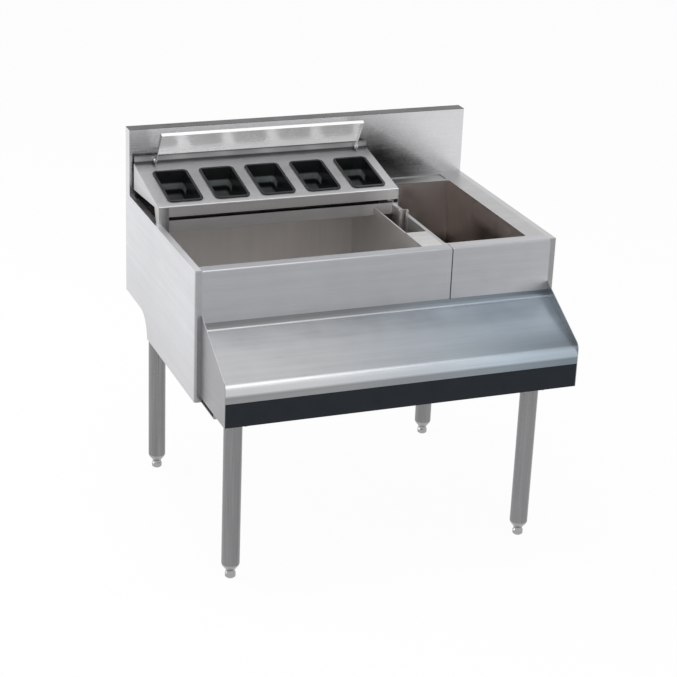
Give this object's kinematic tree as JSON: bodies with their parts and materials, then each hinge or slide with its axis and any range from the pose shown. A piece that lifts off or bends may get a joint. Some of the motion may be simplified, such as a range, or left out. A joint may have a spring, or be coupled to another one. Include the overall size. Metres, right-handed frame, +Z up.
{
  "type": "bar sink with ice bin",
  "caption": "Stainless underbar unit: insulated ice bin beside a small sink, tilted tray of lift-out condiment pans under a hinged lid, sloping apron, tubular legs with screw feet.",
  "frame": {"origin": "on the floor, at the middle of the whole footprint", "axes": "+X to the right, +Y to the wall, +Z up"},
  "size_m": [0.9144, 0.7926, 0.9392],
  "materials": {
    "stainless": "brushed satin stainless",
    "stainless_bright": "polished stainless",
    "channel_steel": "galvanised",
    "dark_fascia": "satin black coating",
    "pan_plastic": "smooth black",
    "foam": "rigid foam",
    "gasket_rubber": "soft",
    "fastener_steel": "plain steel"
  },
  "bodies": {
    "cabinet": {"side_panel_left": "stainless", "side_panel_right": "stainless", "front_panel_bin": "stainless", "front_panel_sink": "stainless", "backsplash": "stainless", "rear_panel": "channel_steel", "bottom_pan": "channel_steel", "deck_bin": "stainless", "deck_sink": "stainless", "divider_cap": "stainless_bright", "utility_trough": "stainless", "guide_channel": "stainless", "bin_liner": "stainless", "bin_insulation": "foam", "bin_drain": "fastener_steel", "bin_drain_nut": "fastener_steel", "sink_bowl": "stainless", "sink_drain": "fastener_steel", "sink_drain_gasket": "gasket_rubber", "sink_drain_nut": "fastener_steel", "apron_slope": "stainless", "apron_fascia": "dark_fascia", "apron_end_left": "stainless", "apron_end_right": "stainless", "apron_rail": "channel_steel", "leg_channel_left": "channel_steel", "leg_channel_right": "channel_steel", "leg_channel_rear": "channel_steel", "leg_mounts": "channel_steel", "leg_plate_bolts": "fastener_steel", "tray_deck": "stainless", "tray_front": "stainless", "tray_rail": "stainless", "tray_end_left": "stainless_bright", "tray_end_right": "stainless", "tray_back": "stainless", "lid_bracket_left": "stainless", "lid_bracket_right": "stainless", "lid_pins": "fastener_steel", "leg_front_left": "stainless", "leg_front_right": "stainless", "leg_rear_left": "stainless", "leg_rear_right": "stainless"},
    "lid": {"lid": "stainless"},
    "bin_strainer": {"bin_strainer": "stainless"},
    "sink_basket": {"sink_basket": "stainless_bright"},
    "pan_1": {"pan_1": "pan_plastic"},
    "pan_2": {"pan_2": "pan_plastic"},
    "pan_3": {"pan_3": "pan_plastic"},
    "pan_4": {"pan_4": "pan_plastic"},
    "pan_5": {"pan_5": "pan_plastic"},
    "foot_front_left": {"foot_front_left": "stainless"},
    "foot_front_right": {"foot_front_right": "stainless"},
    "foot_rear_left": {"foot_rear_left": "stainless"},
    "foot_rear_right": {"foot_rear_right": "stainless"}
  },
  "joints": [
    {"name": "lid_hinge", "type": "hinge", "parent": "cabinet", "child": "lid", "pos_m": [-0.1265, 0.3402, 0.8568], "axis": [-1, 0, 0], "range_deg": [-67, 28]},
    {"name": "pan_1_lift", "type": "slide", "parent": "cabinet", "child": "pan_1", "axis": [0, -0.1857, 0.9826], "range_m": [0, 0.066]},
    {"name": "pan_2_lift", "type": "slide", "parent": "cabinet", "child": "pan_2", "axis": [0, -0.1857, 0.9826], "range_m": [0, 0.066]},
    {"name": "pan_3_lift", "type": "slide", "parent": "cabinet", "child": "pan_3", "axis": [0, -0.1857, 0.9826], "range_m": [0, 0.066]},
    {"name": "pan_4_lift", "type": "slide", "parent": "cabinet", "child": "pan_4", "axis": [0, -0.1857, 0.9826], "range_m": [0, 0.066]},
    {"name": "pan_5_lift", "type": "slide", "parent": "cabinet", "child": "pan_5", "axis": [0, -0.1857, 0.9826], "range_m": [0, 0.066]},
    {"name": "bin_strainer_lift", "type": "slide", "parent": "cabinet", "child": "bin_strainer", "axis": [0, 0, 1], "range_m": [0, 0.1]},
    {"name": "sink_basket_lift", "type": "slide", "parent": "cabinet", "child": "sink_basket", "axis": [0, 0, 1], "range_m": [0, 0.1]},
    {"name": "foot_front_left_adjust", "type": "slide", "parent": "cabinet", "child": "foot_front_left", "axis": [0, 0, -1], "range_m": [0, 0.025]},
    {"name": "foot_front_right_adjust", "type": "slide", "parent": "cabinet", "child": "foot_front_right", "axis": [0, 0, -1], "range_m": [0, 0.025]},
    {"name": "foot_rear_left_adjust", "type": "slide", "parent": "cabinet", "child": "foot_rear_left", "axis": [0, 0, -1], "range_m": [0, 0.025]},
    {"name": "foot_rear_right_adjust", "type": "slide", "parent": "cabinet", "child": "foot_rear_right", "axis": [0, 0, -1], "range_m": [0, 0.025]}
  ]
}
